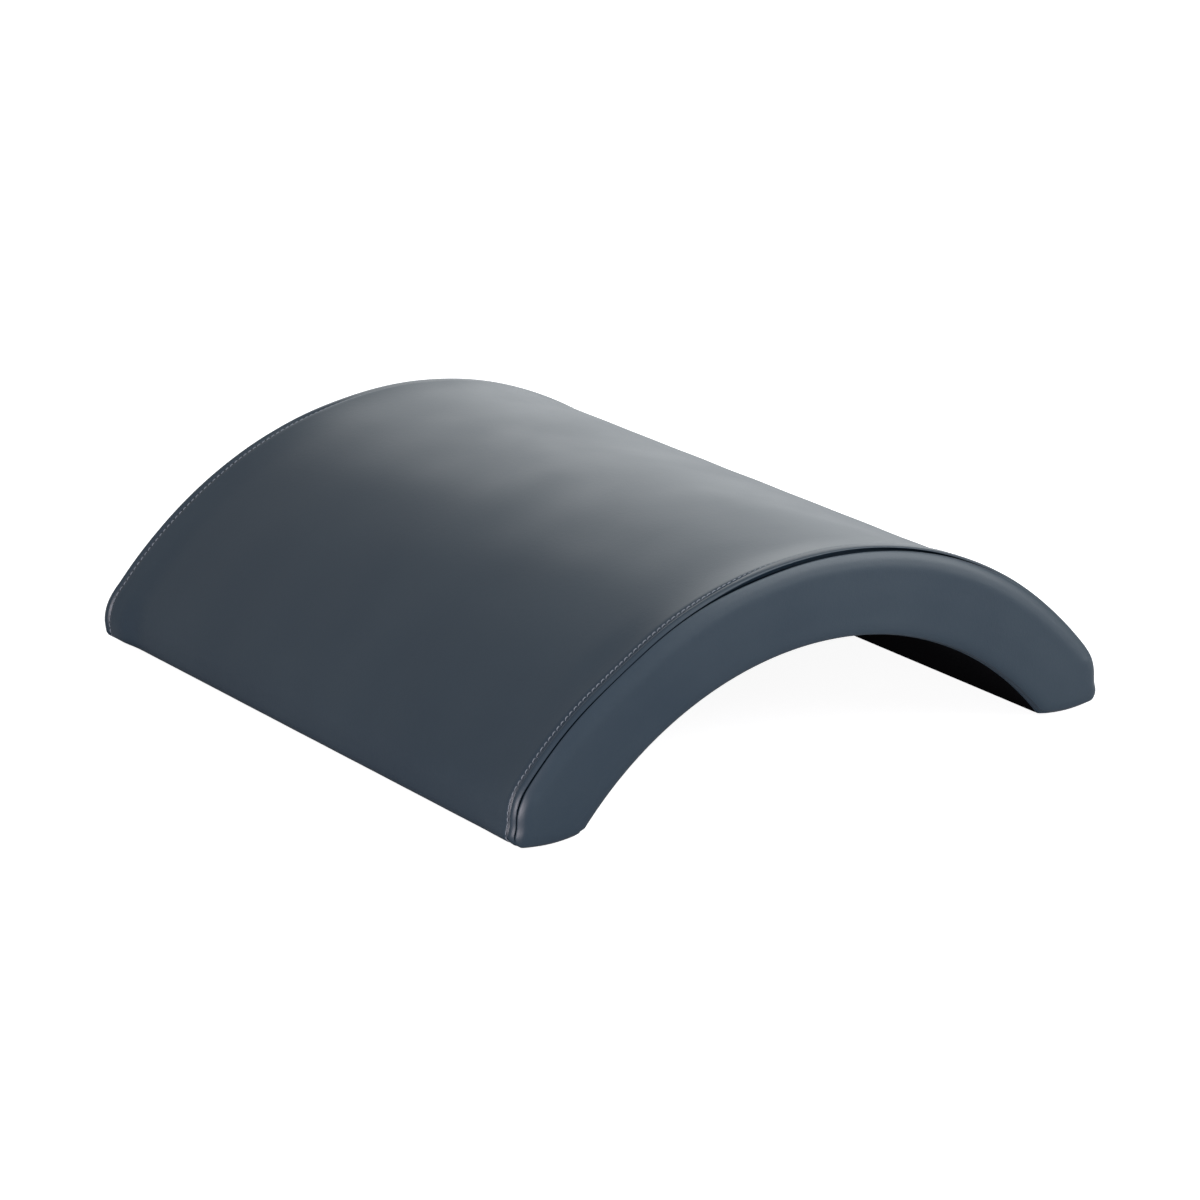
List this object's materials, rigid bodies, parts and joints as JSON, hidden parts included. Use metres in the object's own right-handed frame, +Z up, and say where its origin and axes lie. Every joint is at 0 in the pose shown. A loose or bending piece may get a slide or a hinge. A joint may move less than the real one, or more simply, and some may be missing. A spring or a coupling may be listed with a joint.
{
  "type": "back stretcher",
  "caption": "Arched back stretcher: a vinyl-covered, foam-padded arch on a plywood frame, open underneath, with top-stitched seams at both ends",
  "frame": {"origin": "on the floor under the middle of the arch", "axes": "+X across the arch from the left foot to the right, +Y along its length away from the pictured end, +Z up"},
  "size_m": [0.566, 0.6, 0.1776],
  "materials": {
    "vinyl": "satin vinyl, slate blue-grey",
    "foam": "open-cell foam",
    "plywood": "sanded birch plywood",
    "timber": "planed pine",
    "thread": "bonded polyester thread",
    "lining_cloth": "black non-woven lining",
    "rubber": "matt black rubber",
    "zinc_steel": "zinc-plated steel"
  },
  "bodies": {
    "root": {"top_cover": "vinyl", "front_end_cover": "vinyl", "rear_end_cover": "vinyl", "top_foam_pad": "foam", "front_end_foam_pad": "foam", "rear_end_foam_pad": "foam", "bent_deck": "plywood", "front_end_rib": "plywood", "rear_end_rib": "plywood", "front_middle_rib": "plywood", "rear_middle_rib": "plywood", "left_base_rail": "timber", "right_base_rail": "timber", "slat_1": "timber", "slat_2": "timber", "slat_3": "timber", "slat_4": "timber", "slat_5": "timber", "front_topstitch_thread": "thread", "rear_topstitch_thread": "thread", "underside_lining": "lining_cloth", "front_left_glide": "rubber", "front_right_glide": "rubber", "rear_left_glide": "rubber", "rear_right_glide": "rubber", "front_slat_1_screw": "zinc_steel", "front_slat_2_screw": "zinc_steel", "front_slat_3_screw": "zinc_steel", "front_slat_4_screw": "zinc_steel", "front_slat_5_screw": "zinc_steel", "rear_slat_1_screw": "zinc_steel", "rear_slat_2_screw": "zinc_steel", "rear_slat_3_screw": "zinc_steel", "rear_slat_4_screw": "zinc_steel", "rear_slat_5_screw": "zinc_steel", "front_left_rail_screw_1": "zinc_steel", "front_left_rail_screw_2": "zinc_steel", "front_right_rail_screw_1": "zinc_steel", "front_right_rail_screw_2": "zinc_steel", "rear_left_rail_screw_1": "zinc_steel", "rear_left_rail_screw_2": "zinc_steel", "rear_right_rail_screw_1": "zinc_steel", "rear_right_rail_screw_2": "zinc_steel", "front_left_tongue_screw": "zinc_steel", "front_right_tongue_screw": "zinc_steel", "rear_left_tongue_screw": "zinc_steel", "rear_right_tongue_screw": "zinc_steel", "front_left_glide_screw": "zinc_steel", "front_right_glide_screw": "zinc_steel", "rear_left_glide_screw": "zinc_steel", "rear_right_glide_screw": "zinc_steel"}
  },
  "joints": []
}
